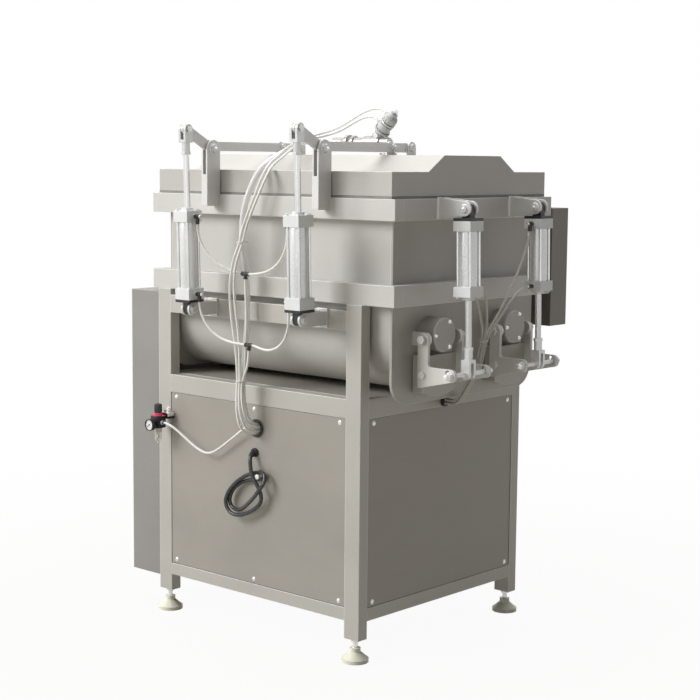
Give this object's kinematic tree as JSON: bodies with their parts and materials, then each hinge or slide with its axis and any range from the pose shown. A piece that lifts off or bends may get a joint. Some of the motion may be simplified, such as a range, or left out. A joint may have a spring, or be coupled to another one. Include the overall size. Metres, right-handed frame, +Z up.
{
  "type": "vacuum meat mixer",
  "caption": "Floor-standing stainless vacuum mixer: paddle shafts in a round-bottomed trough, a lid lifted by air cylinders through bent levers, and air-driven discharge doors on the end plate",
  "frame": {"origin": "on the floor, below the middle of the machine's outline without its hoses and cable", "axes": "+X along the mixing shafts towards the discharge doors, +Y from the lid's lift cylinders towards the control box, +Z up"},
  "size_m": [1.3298, 1.0846, 1.7348],
  "materials": {
    "stainless": "fine satin stainless sheet and tube",
    "polished_steel": "polished stainless steel",
    "screw_steel": "bright stainless screws and stems",
    "aluminium": "light anodised aluminium",
    "chrome_rod": "hard chrome piston rod",
    "zinc": "bright zinc plate",
    "black_fittings": "black plastic and painted fittings",
    "red_plastic": "red plastic lock ring",
    "white_plastic": "white plastic",
    "clear_plastic": "clear plastic bowl",
    "seal_rubber": "pale food-grade rubber",
    "grommet_rubber": "black rubber",
    "cable_rubber": "black cable sheath",
    "clear_hose": "clear flexible hose",
    "tube_plastic": "white translucent air tube",
    "foot_plastic": "ivory plastic foot"
  },
  "bodies": {
    "base": {"frame_tubes": "stainless", "base_panels": "stainless", "frame_screws": "screw_steel", "foot_pads": "foot_plastic", "foot_stems": "screw_steel", "trough_shell": "stainless", "trough_ends": "stainless", "trough_rings": "stainless", "bearing_housings": "stainless", "lift_brackets": "stainless", "door_supports": "stainless", "drive_cabinet": "stainless", "control_box": "stainless", "regulator_body": "black_fittings", "regulator_ring": "red_plastic", "pressure_gauge": "black_fittings", "filter_bowl": "clear_plastic", "grommets": "grommet_rubber", "tube_fittings": "black_fittings", "power_cable": "cable_rubber", "power_coil": "cable_rubber", "vacuum_hose": "clear_hose", "valve_tube_a": "tube_plastic", "valve_tube_b": "tube_plastic", "trunk_tube_a": "tube_plastic", "trunk_tube_b": "tube_plastic", "regulator_tube": "tube_plastic", "lid_tube_a": "tube_plastic", "lid_tube_b": "tube_plastic", "lid_tube_c": "tube_plastic", "lid_tube_d": "tube_plastic", "discharge_tubes_near": "tube_plastic", "discharge_tubes_far": "tube_plastic"},
    "lid": {"lid_shell": "stainless", "lid_gasket": "seal_rubber", "lid_levers": "stainless", "vacuum_pipe": "polished_steel", "valve_actuator": "white_plastic"},
    "valve_pin": {"valve_indicator": "clear_plastic"},
    "lift_barrels": {"lid_cylinder_barrels": "aluminium", "lid_cylinder_mounts": "black_fittings"},
    "lift_rods": {"lid_cylinder_rods": "chrome_rod", "lid_cylinder_clevises": "zinc"},
    "near_door": {"door_near_leaf": "stainless", "door_near_seal": "seal_rubber", "door_near_arms": "stainless"},
    "far_door": {"door_far_leaf": "stainless", "door_far_seal": "seal_rubber", "door_far_arms": "stainless"},
    "near_barrel": {"door_cylinder_near_barrel": "aluminium", "door_cylinder_near_mount": "black_fittings"},
    "far_barrel": {"door_cylinder_far_barrel": "aluminium", "door_cylinder_far_mount": "black_fittings"},
    "near_rod": {"door_cylinder_near_rod": "chrome_rod", "door_cylinder_near_clevis": "zinc"},
    "far_rod": {"door_cylinder_far_rod": "chrome_rod", "door_cylinder_far_clevis": "zinc"},
    "near_shaft": {"mixing_shaft_near": "polished_steel"},
    "far_shaft": {"mixing_shaft_far": "polished_steel"},
    "pressure_knob": {"regulator_knob": "black_fittings"}
  },
  "joints": [
    {"name": "lid_lift", "type": "hinge", "parent": "base", "child": "lid", "pos_m": [-0.01942, -0.40621, 1.593], "axis": [1, 0, 0], "range_deg": [0, 60], "deforming": ["vacuum_hose", "valve_tube_a", "valve_tube_b"]},
    {"name": "lift_barrel_tilt", "type": "hinge", "parent": "base", "child": "lift_barrels", "pos_m": [-0.01942, -0.50071, 1.075], "axis": [1, 0, 0], "range_deg": [-0.02, 0.1385], "deforming": ["lid_tube_a", "lid_tube_b", "lid_tube_c", "lid_tube_d"]},
    {"name": "lift_rod_slide", "type": "slide", "parent": "lift_barrels", "child": "lift_rods", "axis": [0, -0.0285, 0.9996], "range_m": [-0.12765, 0.0005]},
    {"name": "valve_pin_slide", "type": "slide", "parent": "lid", "child": "valve_pin", "axis": [0.7071, 0, 0.7071], "range_m": [0, 0.012]},
    {"name": "near_shaft_turn", "type": "hinge", "parent": "base", "child": "near_shaft", "pos_m": [-0.01942, -0.16321, 1.027], "axis": [1, 0, 0], "continuous": true},
    {"name": "far_shaft_turn", "type": "hinge", "parent": "base", "child": "far_shaft", "pos_m": [-0.01942, 0.20279, 1.027], "axis": [1, 0, 0], "continuous": true},
    {"name": "pressure_knob_turn", "type": "hinge", "parent": "base", "child": "pressure_knob", "pos_m": [-0.47792, -0.43871, 0.7], "axis": [0, 0, 1], "range_deg": [0, 300]},
    {"name": "near_door_swing", "type": "hinge", "parent": "base", "child": "near_door", "pos_m": [0.53058, -0.16321, 1.018], "axis": [0, -1, 0], "range_deg": [0, 55]},
    {"name": "near_barrel_tilt", "type": "hinge", "parent": "base", "child": "near_barrel", "pos_m": [0.62658, -0.16321, 1.417], "axis": [0, -1, 0], "range_deg": [-0.1, 6.58], "deforming": ["discharge_tubes_near"]},
    {"name": "near_rod_slide", "type": "slide", "parent": "near_barrel", "child": "near_rod", "axis": [0.0219, 0, -0.9998], "range_m": [-0.12827, 0.0005]},
    {"name": "far_door_swing", "type": "hinge", "parent": "base", "child": "far_door", "pos_m": [0.53058, 0.20279, 1.018], "axis": [0, -1, 0], "range_deg": [0, 55]},
    {"name": "far_barrel_tilt", "type": "hinge", "parent": "base", "child": "far_barrel", "pos_m": [0.62658, 0.20279, 1.417], "axis": [0, -1, 0], "range_deg": [-0.1, 6.58], "deforming": ["discharge_tubes_far"]},
    {"name": "far_rod_slide", "type": "slide", "parent": "far_barrel", "child": "far_rod", "axis": [0.0219, 0, -0.9998], "range_m": [-0.12827, 0.0005]}
  ],
  "couplings": [
    {"joint": "lift_barrel_tilt", "follows": "lid_lift", "ratio": 0.0019744},
    {"joint": "lift_rod_slide", "follows": "lid_lift", "m_per_rad": -0.12094},
    {"joint": "far_shaft_turn", "follows": "near_shaft_turn", "ratio": -1},
    {"joint": "near_barrel_tilt", "follows": "near_door_swing", "ratio": 0.11777},
    {"joint": "near_rod_slide", "follows": "near_door_swing", "m_per_rad": -0.13259},
    {"joint": "far_barrel_tilt", "follows": "far_door_swing", "ratio": 0.11777},
    {"joint": "far_rod_slide", "follows": "far_door_swing", "m_per_rad": -0.13259}
  ]
}
